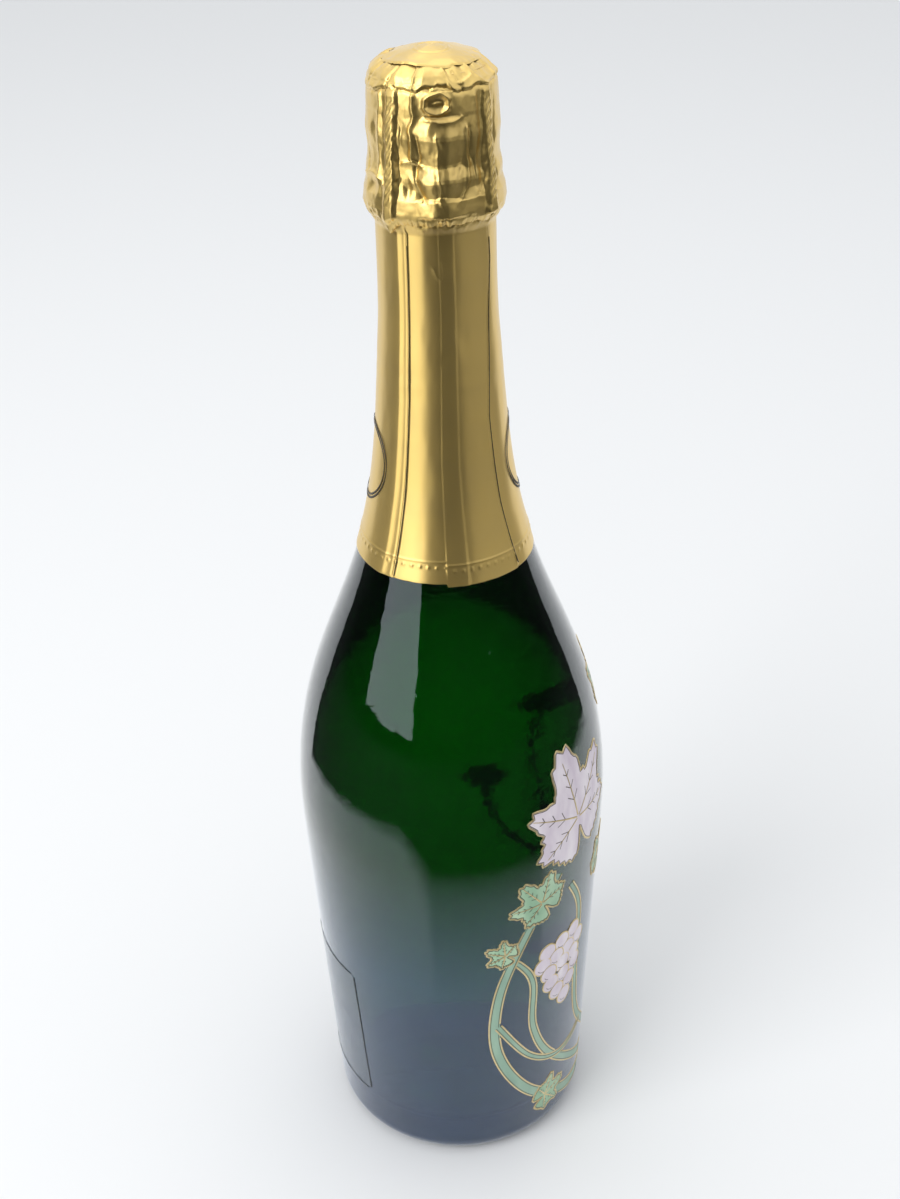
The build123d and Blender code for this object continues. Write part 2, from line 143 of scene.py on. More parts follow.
class Finish:
    """A material that is built on its Principled node."""

    def __init__(self, name, **constants):
        self.material = bpy.data.materials.new(name)
        self.material.use_nodes = True
        self.tree = self.material.node_tree
        self.surface = self.tree.nodes["Principled BSDF"]
        self.paint(**constants)

    def feed(self, socket, value):
        """Links a field to a socket, or gives the socket a value of its own."""
        if isinstance(value, Field):
            self.tree.links.new(value.socket, socket)
        elif isinstance(value, tuple) and socket.type == "RGBA":
            socket.default_value = (*value, 1.0)
        else:
            socket.default_value = value

    def set(self, node, inputs):
        """Sets or links a node's sockets, named with _ for a space."""
        for name, value in inputs.items():
            wanted = name.replace("_", " ").lower()
            self.feed(next(s for s in node.inputs if s.enabled and s.name.lower() == wanted), value)

    def node(self, kind, settings=None, **inputs):
        made = self.tree.nodes.new("ShaderNode" + kind)
        for name, value in (settings or {}).items():
            if name == "stops":
                while len(made.color_ramp.elements) < len(value):
                    made.color_ramp.elements.new(1.0)
                for element, (place, colour) in zip(made.color_ramp.elements, value):
                    element.position = place
                    element.color = (*colour, 1.0)
            else:
                setattr(made, name, value)
        self.set(made, inputs)
        return {s.name: Field(self, s) for s in made.outputs if s.enabled}

    def math(self, operation, *values):
        made = self.tree.nodes.new("ShaderNodeMath")
        made.operation = operation
        for socket, value in zip(made.inputs, values):
            self.feed(socket, value)
        return Field(self, made.outputs[0])

    def colour(self, mask, low, high):
        return self.node("Mix", {"data_type": "RGBA"}, Factor=mask, A=low, B=high)["Result"]

    def ramp(self, value, *stops):
        return self.node("ValToRGB", {"stops": stops}, Fac=value)["Color"]

    def place(self):
        return self.node("NewGeometry")["Position"]

    def noise(self, where, scale, detail=2.0, roughness=0.5):
        made = self.node("TexNoise", Vector=where, Scale=scale, Detail=detail, Roughness=roughness)
        return made["Fac"]

    def stretch(self, where, scale):
        return self.node("Mapping", Vector=where, Scale=scale)["Vector"]

    def bump(self, height, distance):
        self.paint(Normal=self.node("Bump", Height=height, Distance=distance)["Normal"])

    def over(self, factor, **constants):
        """Mixes a second surface into the first, by as much as a factor says."""
        second = self.tree.nodes.new("ShaderNodeBsdfPrincipled")
        self.set(second, constants)
        mixed = self.tree.nodes.new("ShaderNodeMixShader")
        for shader, socket in ((self.surface, mixed.inputs[1]), (second, mixed.inputs[2])):
            self.tree.links.new(shader.outputs[0], socket)
        self.tree.links.new(factor.socket, mixed.inputs[0])
        self.tree.links.new(mixed.outputs[0], self.tree.nodes["Material Output"].inputs["Surface"])

    def paint(self, **inputs):
        self.set(self.surface, inputs)

    def wear(self, scale, detail, low, high, rough, rougher):
        """Lets a noise choose between two colours, and roughen the surface."""
        worn = self.noise(self.place(), scale, detail)
        self.paint(Base_Color=self.colour(worn, low, high), Roughness=rough + rougher * worn)


def dress(piece, finish):
    """Gives a piece one finish all over."""
    piece.data.materials.clear()
    piece.data.materials.append(finish.material)


# %% [markdown]
# ## The studio
# A white floor, a white world and three lamps: a broad one overhead, and a window at the
# camera's left, made of a low lamp and a high one for the sky. Glass shows nothing but what
# stands round it, so the photographer's side is kept dark with black card. It lies on the
# floor from a near edge that fades in, and stands up far out, tall where the photographer
# stands. The camera doesn't see the card, which only shows in what is glossy. A picture of a
# whole room could light the bottle too, but lamps and card go just where the glass needs them.

# %% Floor and card
FLOOR_REACH = 6.0
FLOOR_COLOUR = (0.85, 0.855, 0.86)
CARD_ASIDE = (-118, -60, -35, -15, 60, 95, 118)
CARD_NEAR = (0.265, 0.265, 0.232, 0.09, 0.09, 0.33, 0.35)
CARD_FADE = (0.03, 0.04, 0.08, 0.10, 0.10, 0.08, 0.08)
CARD_FAR = 1.7
CARD_LOW = 0.44
CARD_HIGH = 1.7
CARD_HALF_ANGLE = radians(118)
CARD_STEPS = 118
CARD_BLACK = (0.014, 0.015, 0.016)
CARD_COVER = [0.0, 1.0, 1.0, 1.0]
PERSON_FROM, PERSON_TO = radians(-30), radians(38)


def mesh_piece(name, points, faces):
    """A smooth mesh object from a list of points and a list of faces."""
    mesh = bpy.data.meshes.new(name)
    mesh.from_pydata([tuple(p) for p in points], [], [tuple(f) for f in faces])
    mesh.polygons.foreach_set("use_smooth", [True] * len(mesh.polygons))
    mesh.update()
    piece = bpy.data.objects.new(name, mesh)
    scene.collection.objects.link(piece)
    return piece


def strip(rows, closed=False):
    """The points and faces of a grid of points, whose last row may join its first."""
    index = np.arange(len(rows) * len(rows[0])).reshape(len(rows), -1)
    after = np.roll(index, -1, axis=0)
    faces = np.stack((index[:, :-1], index[:, 1:], after[:, 1:], after[:, :-1]), axis=-1)
    faces = faces if closed else faces[:-1]
    return [point for row in rows for point in row], faces.reshape(-1, 4).tolist()


def joined(name, parts):
    """One mesh from a list of points and their faces."""
    points, faces = [], []
    for part_points, part_faces in parts:
        faces += [[len(points) + corner for corner in face] for face in part_faces]
        points += part_points
    return mesh_piece(name, points, faces)


corners = [(x * FLOOR_REACH, y * FLOOR_REACH, 0) for x, y in ((-1, -1), (1, -1), (1, 1), (-1, 1))]
studio_floor = mesh_piece("studio_floor", corners, [(0, 1, 2, 3)])
floor_paper = Finish("floor_paper", Base_Color=FLOOR_COLOUR, Roughness=0.9, Specular_IOR_Level=0.1)
dress(studio_floor, floor_paper)

card_rows = []
for step in range(CARD_STEPS + 1):
    aside = CARD_HALF_ANGLE * (2 * step / CARD_STEPS - 1)
    angle = CAMERA_ANGLE + aside
    top = CARD_HIGH if PERSON_FROM < aside < PERSON_TO else CARD_LOW
    near = np.interp(degrees(aside), CARD_ASIDE, CARD_NEAR)
    full = near + np.interp(degrees(aside), CARD_ASIDE, CARD_FADE)
    card_rows.append([toward(angle, near, MM), toward(angle, full, MM), toward(angle, CARD_FAR, MM),
                      toward(angle, CARD_FAR, top)])
black_card = joined("black_card", [strip(card_rows)])
card_paper = Finish("black_card", Base_Color=CARD_BLACK, Roughness=0.9)
cover = black_card.data.attributes.new("cover", "FLOAT", "POINT")
cover.data.foreach_set("value", CARD_COVER * (CARD_STEPS + 1))
card_paper.paint(Alpha=card_paper.node("Attribute", {"attribute_name": "cover"})["Fac"])
dress(black_card, card_paper)
black_card.visible_camera = False
black_card.visible_diffuse = False
black_card.visible_shadow = False
black_card.visible_transmission = False
print("the card comes within", round(min(CARD_NEAR) / MM), "mm of the axis")

# %% The world
ROOM_LIGHT, ROOM_COLOUR = 0.82, (0.96, 0.98, 1.0, 1.0)
SEEN_LIGHT, SEEN_COLOUR = 1.0, (0.93, 0.94, 0.95, 1.0)
world = bpy.data.worlds.new("studio")
world.use_nodes = True
scene.world = world
world_nodes = world.node_tree.nodes
world_links = world.node_tree.links
room = world_nodes["Background"]
white = world_nodes.new("ShaderNodeBackground")
for sky, colour, light in ((room, ROOM_COLOUR, ROOM_LIGHT), (white, SEEN_COLOUR, SEEN_LIGHT)):
    sky.inputs["Color"].default_value = colour
    sky.inputs["Strength"].default_value = light
rays = world_nodes.new("ShaderNodeLightPath")
seen = rays.outputs["Is Camera Ray"]
for kind in ("Is Glossy Ray", "Is Transmission Ray"):
    either = world_nodes.new("ShaderNodeMath")
    either.operation = "MAXIMUM"
    world_links.new(seen, either.inputs[0])
    world_links.new(rays.outputs[kind], either.inputs[1])
    seen = either.outputs[0]
both = world_nodes.new("ShaderNodeMixShader")
for source, socket in zip((seen, room.outputs[0], white.outputs[0]), both.inputs):
    world_links.new(source, socket)
world_links.new(both.outputs[0], world_nodes["World Output"].inputs["Surface"])
print("the room's light is", ROOM_LIGHT, "and what is seen of it", SEEN_LIGHT)

# %% Lamps
WINDOW_ANGLE = CAMERA_ANGLE - radians(50)
LAMPS = (
    ("overhead", CAMERA_ANGLE + pi, 0.35, 1.5, 0.2, 1.1, 1.1, 3.0),
    ("window", WINDOW_ANGLE, 1.25, 0.435, 0.4, 0.97, 0.63, 3.6),
    ("sky", WINDOW_ANGLE, 1.25, 1.3, 0.9, 0.90, 1.1, 11.0))
for name, angle, away, up, aim, width, height, power in LAMPS:
    light = bpy.data.lights.new(name, "AREA")
    light.shape = "RECTANGLE"
    light.size, light.size_y, light.energy = width, height, power
    made = bpy.data.objects.new(name, light)
    made.location = toward(angle, away, up)
    shine = Vector((0, 0, aim)) - toward(angle, away, up)
    made.rotation_euler = shine.to_track_quat("-Z", "Y").to_euler()
    scene.collection.objects.link(made)
print("the studio has a floor, a card and", len(bpy.data.lights), "lamps")

# %% [markdown]
# ## Glass and wine
# Champagne glass is so dark a green that a wall of it lets through a third of the green
# light and next to no red or blue. The colour is in the glass, not on it, so the surface is
# clear and an absorbing volume fills the solid. Low on the body a bluish reflection is
# painted on: a second, rough, blue surface is mixed into the first, with a light mottle.
# Between the glass and the wine there must be no film of air, which would mirror, so the
# wine is let out by a hair until it overlaps the glass.

# %% Make the glass and the wine
GLASS_IOR = 1.52
WINE_IOR = 1.34
WINE_OVERLAP = 0.1 * MM
WHITE = (1.0, 1.0, 1.0)
GLASS_GREEN, GLASS_DENSITY = (0.02, 0.62, 0.05), 780.0
WINE_YELLOW, WINE_DENSITY = (0.9, 0.8, 0.45), 6.0
PAINTED_REFLECTION_BLUE = (0.18, 0.42, 1.0)
PAINTED_REFLECTION_TOP, PAINTED_REFLECTION_FADE = 0.122, 0.045
PAINTED_REFLECTION_THIN, PAINTED_REFLECTION_SPOTS = 0.04, 0.03

glass = Finish("green_glass", Base_Color=WHITE, Roughness=0.015, IOR=GLASS_IOR,
               Transmission_Weight=1.0, Coat_Weight=1.0, Coat_IOR=1.32, Coat_Roughness=0.02,
               Specular_Tint=(0.76, 0.95, 1.08))


def colour_inside(finish, colour, density):
    """Fills the solid under a finish with a volume that absorbs light."""
    volume = finish.tree.nodes.new("ShaderNodeVolumeAbsorption")
    volume.inputs["Color"].default_value = (*colour, 1.0)
    volume.inputs["Density"].default_value = density
    output = finish.tree.nodes["Material Output"]
    finish.tree.links.new(volume.outputs[0], output.inputs["Volume"])


colour_inside(glass, GLASS_GREEN, GLASS_DENSITY)
where = glass.place()
# Painted reflection: a bluish colour mixed in low on the body, fading out upward, with a light
# mottle.
low_down = ((PAINTED_REFLECTION_TOP - glass.node("SeparateXYZ", Vector=where)["Z"]) / PAINTED_REFLECTION_FADE).clamp()
painted_reflection = low_down * (PAINTED_REFLECTION_THIN + PAINTED_REFLECTION_SPOTS * glass.noise(where, 60.0, 4.0))
glass.over(painted_reflection, Base_Color=PAINTED_REFLECTION_BLUE, Roughness=0.6)
glass.bump(glass.noise(where, 650.0, 1.0), 0.02 * MM)
dress(nodes["bottle"], glass)

wine = Finish("wine", Base_Color=WHITE, Roughness=0.0, IOR=WINE_IOR, Transmission_Weight=1.0)
colour_inside(wine, WINE_YELLOW, WINE_DENSITY)
dress(nodes["wine"], wine)
weld = nodes["wine"].modifiers.new("weld", "WELD")
weld.merge_threshold = 0.01 * MM
swell = nodes["wine"].modifiers.new("swell", "DISPLACE")
swell.strength = WINE_OVERLAP
swell.mid_level = 0.0
print("the wine overlaps the glass by", round(WINE_OVERLAP / MM, 2), "mm")

# %% [markdown]
# ## Gold foil
# The capsule is aluminium foil with a gold lacquer. The lacquer is nearly even, so the colour
# hardly changes, and what the eye sees is the foil's shape. The skirt is satin, because
# it is smoothed round the neck, and the hood is shinier. Foil keeps every mark that is
# pressed into it. A bump map could draw the marks, but it would leave the outline smooth, so
# both are built as fine grids that wrap the axis: each grid point has an angle from the
# camera's side and a height, and a Relief adds up the marks there.

# %% Marks in a sheet
def ease(value):
    """Clamps a value to 0-1 and rounds off its two corners."""
    value = np.clip(value, 0, 1)
    return value * value * (3 - 2 * value)


def hump(away, width, sharp=2):
    """1 in the middle, and a smooth fall to 0 on both sides."""
    return np.exp(-((np.abs(away) / width) ** sharp))


def around(turn):
    """An angle in degrees, brought between -180 and 180."""
    return (turn + 180) % 360 - 180


def mottle(turn, up, cells, tall, seed):
    """Smooth random values between -1 and 1, with so many cells round and each so tall."""
    rows = int((up.max() - up.min()) / tall) + 3
    values = np.random.default_rng(seed).uniform(-1, 1, (rows, cells))
    x = (turn % 360) / 360 * cells
    y = (up - up.min()) / tall
    left, low = x.astype(int) % cells, y.astype(int)
    right = (left + 1) % cells
    fx, fy = ease(x - np.floor(x)), ease(y - np.floor(y))
    below = values[low, left] * (1 - fx) + values[low, right] * fx
    above = values[low + 1, left] * (1 - fx) + values[low + 1, right] * fx
    return below * (1 - fy) + above * fy


class Relief:
    """Marks in a sheet, in millimetres, on a grid of angles in degrees and heights."""

    def __init__(self, turn, up, radius):
        self.turn, self.up = turn, up
        self.girth = radius * pi / 180
        self.height = np.zeros(turn.shape)

    def away(self, *points):
        """How far each grid point is from a run of points, negative on the run's left."""
        nearest = np.full(self.turn.shape, 1e3)
        for start, end in zip(points, points[1:]):
            x, y = around(self.turn - start[0]) * self.girth, self.up - start[1]
            dx, dy = (end[0] - start[0]) * self.girth, end[1] - start[1]
            share = np.clip((x * dx + y * dy) / (dx * dx + dy * dy), 0, 1)
            gap = np.hypot(x - share * dx, y - share * dy)
            gap = np.where(x * dy < y * dx, -gap, gap)
            nearest = np.where(np.abs(gap) < np.abs(nearest), gap, nearest)
        return nearest

    def fold(self, height, left, right, *points, sharp=1.4):
        """A fold along a run of points, with a width on its left and on its right."""
        away = self.away(*points)
        width = np.where(away < 0, left, right)
        self.height += height * hump(away, width, sharp)

    def dent(self, height, turn, up, wide, tall):
        """A round or oval mark."""
        x = around(self.turn - turn) * self.girth / wide
        y = (self.up - up) / tall
        self.height += height * hump(np.hypot(x, y), 1)

    def crumple(self, height, size, count, ups, seed, mask):
        """Facets as of crumpled foil: the distance to the nearest of some random points."""
        rng = np.random.default_rng(seed)
        nearest = np.full(self.turn.shape, size)
        for turn, up in zip(rng.uniform(-180, 180, count), rng.uniform(*ups, count)):
            x = around(self.turn - turn) * self.girth
            nearest = np.minimum(nearest, np.hypot(x, self.up - up))
        self.height += height * (nearest / size - 0.5) * mask


def grid_faces(rows, columns):
    """The faces of a grid whose rows close on themselves."""
    index = np.arange(rows * columns).reshape(rows, columns)
    after = np.roll(index, -1, axis=1)
    faces = np.stack((index[:-1], after[:-1], after[1:], index[1:]), axis=-1)
    return faces.reshape(-1, 4).tolist()


def turns(columns, rows):
    """Angles all round the axis from -180 degrees, the same in each row."""
    return np.tile(np.linspace(-180, 180, columns, endpoint=False), (rows, 1))


def wrap(name, turn, radius, up):
    """A sheet from grids of angles in degrees, radii and heights in millimetres."""
    angle = CAMERA_ANGLE + np.radians(turn)
    points = np.stack((radius * np.cos(angle), radius * np.sin(angle), up), axis=-1) * MM
    return mesh_piece(name, points.reshape(-1, 3).tolist(), grid_faces(*turn.shape))


# %% Gold finishes
GOLD = (0.89, 0.64, 0.20)
GOLD_THIN = (0.86, 0.62, 0.22)
skirt_gold = Finish("gold_foil", Metallic=1.0, Anisotropic=0.9, Anisotropic_Rotation=0.25,
                    Coat_Weight=0.45, Coat_Roughness=0.2)
skirt_gold.wear(140.0, 4.0, GOLD_THIN, GOLD, 0.40, 0.06)
crown_gold = Finish("crown_foil", Metallic=1.0, Anisotropic=0.7, Anisotropic_Rotation=0.25,
                    Coat_Weight=0.45, Coat_Roughness=0.15)
crown_gold.wear(140.0, 4.0, GOLD_THIN, GOLD, 0.35, 0.06)
print("each gold finish has", len(crown_gold.tree.nodes), "nodes")

# %% [markdown]
# ## The hood's crown
# The foil over the cage is pressed on by a machine with rubber fingers. It lies on the cork,
# the lip and the glass ring in steps, stands out over the four twisted legs and over the
# key, and creases along the rim wire. Its lower edge is gathered under the ring. A cloth
# simulation could press it on, but the creases would fall in places of their own, and here
# they lie where the photograph shows them. The grid starts with an outline from the edge up
# to the disc, and then the marks are added. Last, rays are shot inwards at the wires, and the
# foil is pushed out where one would come through.

# %% The crown's outline
CROWN_COLUMNS = 600
CROWN_ROWS = 260
CROWN_RADIUS = 15.6
crown_outline = np.array([
    (15.2, 296.6), (15.25, 295.5), (15.9, 295.2), (16.8, 296.6), (17.15, 298.0), (17.05, 299.5),
    (16.85, 301.2), (16.5, 302.4), (16.3, 303.2), (16.0, 305.0), (15.75, 307.0), (15.6, 308.6),
    (15.5, 312.0), (15.45, 316.0), (15.4, 319.5), (15.25, 323.5), (15.1, 325.4), (14.8, 326.4),
    (14.3, 327.4), (13.5, 328.4), (12.4, 329.3), (11.3, 330.0), (10.2, 330.5), (9.0, 330.9)])
run = np.concatenate(([0], np.cumsum(np.hypot(*np.diff(crown_outline, axis=0).T))))
steps = np.linspace(0, run[-1], CROWN_ROWS)
even = np.array([np.interp(steps, run, side) for side in crown_outline.T])
for _ in range(6):
    even[:, 1:-1] = (even[:, :-2] + 2 * even[:, 1:-1] + even[:, 2:]) / 4
outline_r, outline_z = even
out_r = np.gradient(outline_z)
out_z = -np.gradient(outline_r)
scale = np.hypot(out_r, out_z)
out_r, out_z = out_r / scale, out_z / scale

turn = turns(CROWN_COLUMNS, CROWN_ROWS)
up = np.tile(outline_z[:, None], (1, CROWN_COLUMNS))
base_r = np.tile(outline_r[:, None], (1, CROWN_COLUMNS))
wobble_turn = turn + 0.9 * mottle(turn, up, 70, 2.2, 1) + 0.35 * mottle(turn, up, 170, 0.9, 2)
wobble_up = up + 0.22 * mottle(turn, up, 60, 2.4, 3) + 0.08 * mottle(turn, up, 150, 0.9, 4)
crown = Relief(wobble_turn, wobble_up, CROWN_RADIUS)
print("the crown's outline is", round(run[-1], 1), "mm long")

# %% The steps, the key and the legs
LEG_TURNS = (-38.0, 51.5, 142.0, -128.0)
KEY_TURN = 5.0
LEG_Z, LEG_R = (298.2, 324.2, 326.0), (18.05, 15.8, 15.3)
KEY_Z, KEY_R = (298.2, 319.4, 320.2, 325.5), (18.35, 16.15, 15.45, 15.3)
LEG_HALF, LEG_REACH = 0.75, 2.3
KEY_HALF, KEY_REACH = 1.0, 6.0
ROPE_HIGH, ROPE_PITCH = 0.09, 2.0
BESIDE_LEG = ((-0.25, 0.5, 0.9, -9.0, 0), (-0.3, 0.9, 0.5, 9.5, 0), (0.3, 0.9, 0.9, -14.0, 2))
steps_z = (297.4, 298.2, 301.3, 302.1, 305.4, 306.2, 309.0, 309.7, 315.0, 316.0, 319.8, 320.6,
           325.4, 326.2)
steps_r = (17.0, 17.1, 16.9, 15.9, 16.5, 16.4, 15.4, 15.35, 16.25, 16.2, 15.55, 15.6, 15.2, 14.85)
low_z = (297.4, 301.3, 302.1, 309.5, 320.3, 326.0)
low_r = (17.0, 16.7, 15.85, 15.35, 15.5, 14.85)


def tent(away, half, reach):
    """Foil over a wire: flat across the wire, then straight down to where it lies again."""
    return ease(np.clip((reach - np.abs(away)) / (reach - half), 0, 1))


front = hump(around(turn - 6), 34, 4)
back_steps = 0.5 + 0.2 * mottle(turn, up, 7, 50.0, 5)
in_steps = (up > steps_z[0]) & (up < steps_z[-1])
pressed = np.interp(wobble_up, steps_z, steps_r) - base_r
pressed *= np.maximum(front, back_steps) * in_steps
key_away = around(wobble_turn - KEY_TURN) * crown.girth
over_key = np.interp(up, KEY_Z, KEY_R) - np.interp(up, low_z, low_r)
over_key = np.maximum(over_key, 0) * tent(key_away, KEY_HALF, KEY_REACH)
pressed += over_key * ease((up - 297.2) / 0.8) * (up < 325.5)
crown.height += pressed
for leg in LEG_TURNS:
    run_up = ((leg + 1, 325.8), (leg, 318.0), (leg - 0.5, 311.0), (leg, 304.0), (leg - 1, 296.0))
    beside = crown.away(*run_up)
    over_leg = (np.interp(up, LEG_Z, LEG_R) - base_r) * tent(beside, LEG_HALF, LEG_REACH)
    over_leg = over_leg * ease((up - 296.6) / 1.2) * ease((326.4 - up) / 0.8)
    crown.height = np.maximum(crown.height, over_leg)
    rope = np.cos(2 * pi * (up / ROPE_PITCH + beside / 1.5)) * hump(beside, 0.8)
    crown.height += ROPE_HIGH * rope * ease((up - 299) / 2) * ease((324 - up) / 2)
    for high, left, right, aside, fall in BESIDE_LEG:
        crown.fold(high, left, right, *((t + aside, z - fall) for t, z in run_up[:4]), sharp=1.5)
print("the crown's grid has", turn.size, "points")

# %% Creases seen on the camera's side
fold = crown.fold
fold(0.3, 0.5, 0.8, (5, 301), (4, 305), (3, 311), (2, 316), sharp=1.6)
fold(0.42, 0.35, 0.9, (-20, 310.6), (-19, 317.7), (-17, 320.3), (-18, 324.3))
fold(-0.35, 0.5, 0.5, (-9, 301.4), (-14, 305.2), (-16, 308.5), (-12, 311.5), (-14.5, 315.7))
fold(0.42, 0.8, 0.4, (22, 301.9), (27, 304.2), (29, 306.8), (30, 309.9), (28, 312.3), (28, 317))
fold(-0.35, 0.5, 0.6, (38, 302.1), (36, 305.8), (35, 308.8), (31, 311.5), (30, 317))
fold(0.3, 0.3, 0.5, (-27, 309.7), (-18, 310.2), (-10, 309.3))
crown.dent(-0.5, -22, 304.3, 1.0, 2.2)
crown.dent(-0.35, -58, 316.3, 1.1, 1.6)
fold(0.4, 0.5, 0.9, (-77, 305.2), (-59, 306.4), (-48, 304.7), (-44, 302.5))
crown.dent(-0.4, -62, 303.0, 2.0, 1.8)
fold(-0.3, 0.4, 0.7, (-84, 318), (-75, 311), (-70, 306.5))
print("the marks go up to", round(float(crown.height.max()), 2), "mm")

# %% The key's loop
LOOP_TURN, LOOP_UP = 3.5, 322.9
x = around(wobble_turn - LOOP_TURN) * crown.girth
y = wobble_up - LOOP_UP
ring = np.abs(np.maximum(np.abs(x) / 3.2, np.hypot(x / 3.4, y / 2.6)) - 0.86)
hollow = np.hypot(x / 2.2, y / 1.3)
crown.height += 0.62 * hump(ring, 0.17) - 0.45 * hump(hollow, 1, 4)
crown.height += 0.35 * hump(np.hypot(x / 1.3, y / 0.38), 1)
fold(0.3, 0.4, 0.5, (-7, 320), (4, 319), (17, 319.2), (24, 319.9))
print("with the loop the marks go up to", round(float(crown.height.max()), 2), "mm")

# %% The rim crease and the crumpled top
rim = [
    (-180, 326), (-140, 325.4), (-100, 326.1), (-78, 323.9), (-59, 324.5), (-43, 325.9),
    (-25, 325.8), (-14, 325.1), (-6, 326), (14, 326.3), (19, 325.2), (34, 325.1), (43, 325.9),
    (56, 325.4), (80, 326.2), (110, 325.3), (140, 326), (179.9, 326)]
fold(-0.38, 0.28, 0.5, *rim, sharp=1.2)
fold(0.22, 0.5, 0.5, *((t, z + 0.75) for t, z in rim), sharp=1.6)
fold(-0.4, 0.25, 0.5, (-37, 331.4), (-40, 328.8), (-43, 326.4))
fold(0.3, 0.5, 0.25, (-19, 331.9), (-16, 329.7), (-18, 326.4))
fold(0.3, 0.3, 0.6, (38, 330.7), (47, 327.3), (56, 325.5))
fold(0.35, 0.4, 0.8, (13, 329), (17, 325.9))
fold(-0.3, 0.4, 0.6, (22, 329), (27, 325.6))
fold(0.25, 0.3, 0.5, (29, 327), (40, 328))
for number, t in enumerate((70, 92, 112, 131, 158, 176, -158, -140, -118, -97, -82, -64)):
    lean = 5 * (-1) ** number
    high = 0.3 * (-1) ** (number // 2)
    fold(high, 0.3, 0.6, (t, 330.5), (t + lean, 328.5), (t + lean - 3, 326.2))
upper = ease((up - 324.5) / 2)
crown.crumple(0.36, 2.8, 80, (324.5, 331), 6, upper)
lower = ease((299.5 - up) / 2) * (0.35 + 0.65 * hump(around(turn + 88), 30))
crown.crumple(0.6, 2.0, 200, (294.5, 301), 7, lower)
crown.crumple(0.12, 3.2, 170, (298, 326), 8, 1 - upper)
crown.height += 0.03 * mottle(turn, up, 90, 1.8, 9)
print("the deepest mark in the crown is", round(float(-crown.height.min()), 2), "mm")

# %% The gathered edge, and the crown's mesh
hem = ease((299.0 - up) / 3.5)
drop = 0.28 * mottle(turn, up * 0, 90, 1.0, 10) + 0.2 * mottle(turn, up * 0, 210, 1.0, 11)
for leg, depth in zip(LEG_TURNS, (2.6, 0.7, 0.9, 1.4)):
    drop = drop - depth * hump(around(turn - leg + 4), 6, 1.5)
height = crown.height * ease((up - 294.6) / 1.4 + 0.25)
crown_r = base_r + height * out_r[:, None]
crown_z = up + height * out_z[:, None] + drop * hem
inside = steps[:, None] < 1.2
tucked = 15.3 + 0.1 * mottle(turn, up, 60, 1.0, 12)
crown_r = np.where(inside, np.minimum(crown_r, tucked), crown_r)
shoulder = ease((up - 326.8) / 1.5)
crown_r = crown_r - 0.45 * shoulder * np.sin(np.radians(turn))
print("the gathered edge hangs down to", round(float(crown_z.min()), 1), "mm above the floor")

# %% Lay the foil over every wire
WIRES = ("cage_rim_wire", "cage_belt", "cage_leg_1", "cage_leg_2", "cage_leg_3", "cage_leg_4")
FOIL_OVER_WIRE = 0.14
OUTSIDE, REACH = 24.0, 11.0
WIRES_END = 327.2
depsgraph = bpy.context.evaluated_depsgraph_get()
wire_trees = [BVHTree.FromObject(nodes[name], depsgraph) for name in WIRES]
wire_r = np.zeros(turn.shape)
for spot in zip(*np.nonzero(crown_z < WIRES_END)):
    outward = toward(CAMERA_ANGLE + radians(turn[spot]))
    start = outward * OUTSIDE * MM + Vector((0, 0, crown_z[spot] * MM))
    for tree in wire_trees:
        hit = tree.ray_cast(start, -outward, REACH * MM)[0]
        if hit:
            wire_r[spot] = max(wire_r[spot], hypot(hit.x, hit.y) / MM + FOIL_OVER_WIRE)
wire_r = np.maximum(wire_r, np.maximum(np.roll(wire_r, 1, 1), np.roll(wire_r, -1, 1)))
wire_r[1:-1] = np.maximum(wire_r[1:-1], np.maximum(wire_r[:-2], wire_r[2:]))
print("the wires push the foil out at", int((wire_r > crown_r).sum()), "points")
crown_r = np.maximum(crown_r, wire_r)
foil_crown = wrap("hood_crown", turn, crown_r, crown_z)
dress(foil_crown, crown_gold)
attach(foil_crown, "hood")
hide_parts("foil_crown")
print("the crown is", round(float(crown_r.max()) * 2, 1), "mm wide")

# %% [markdown]
# ## The disc on top
# The crown's top is folded in, and a disc of foil lies over the fold, so its edge shows as a
# step with small gaps under it. It is domed like the cap, with a plain round mark. It could
# be the inner part of the crown's grid, but the step would then be a slope.

# %% The disc
DISC_ROWS = 56
DISC_COLUMNS = 300
DISC_EDGE = 11.5
DISC_TOP = 332.7
share = np.linspace(0, 1, DISC_ROWS)[:, None]
turn = turns(DISC_COLUMNS, DISC_ROWS)
edge = DISC_EDGE + 0.22 * mottle(turn, turn * 0, 40, 1.0, 21)
edge = edge + 0.12 * mottle(turn, turn * 0, 110, 1.0, 22)
radius = np.maximum(share, 0.002) * edge
dome_r = (0.0, 2.5, 5.3, 8.2, 10.0, 11.0, 11.5, 12.2)
dome_z = (332.68, 332.55, 332.15, 331.4, 330.85, 330.5, 330.3, 330.1)
height = np.interp(radius, dome_r, dome_z)
disc = Relief(turn, radius, 9.0)
disc.crumple(0.3, 3.0, 26, (5, 12), 23, ease((radius - 6) / 4))
angle = np.radians(turn)
x, y = radius * np.sin(angle), radius * np.cos(angle)
ring = np.abs(np.hypot(x, y - 1.5) - 3.9)
disc.height += 0.13 * hump(ring, 0.35) - 0.08 * hump(ring - 0.6, 0.3)
disc.height += 0.05 * mottle(turn, radius, 24, 1.6, 24)
lift = 0.32 * hump(around(turn + 27), 16) + 0.14 * mottle(turn, turn * 0, 18, 1.0, 25)
height = height + disc.height + lift * ease((share - 0.8) / 0.2)
height = np.minimum(height - 0.3 * ease((share - 0.96) / 0.04), DISC_TOP)
foil_disc = wrap("hood_disc", turn, radius, height)
dress(foil_disc, crown_gold)
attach(foil_disc, "hood")
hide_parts("foil_top_disc")
print("the disc is", round(float(edge.max()) * 2, 1), "mm wide")

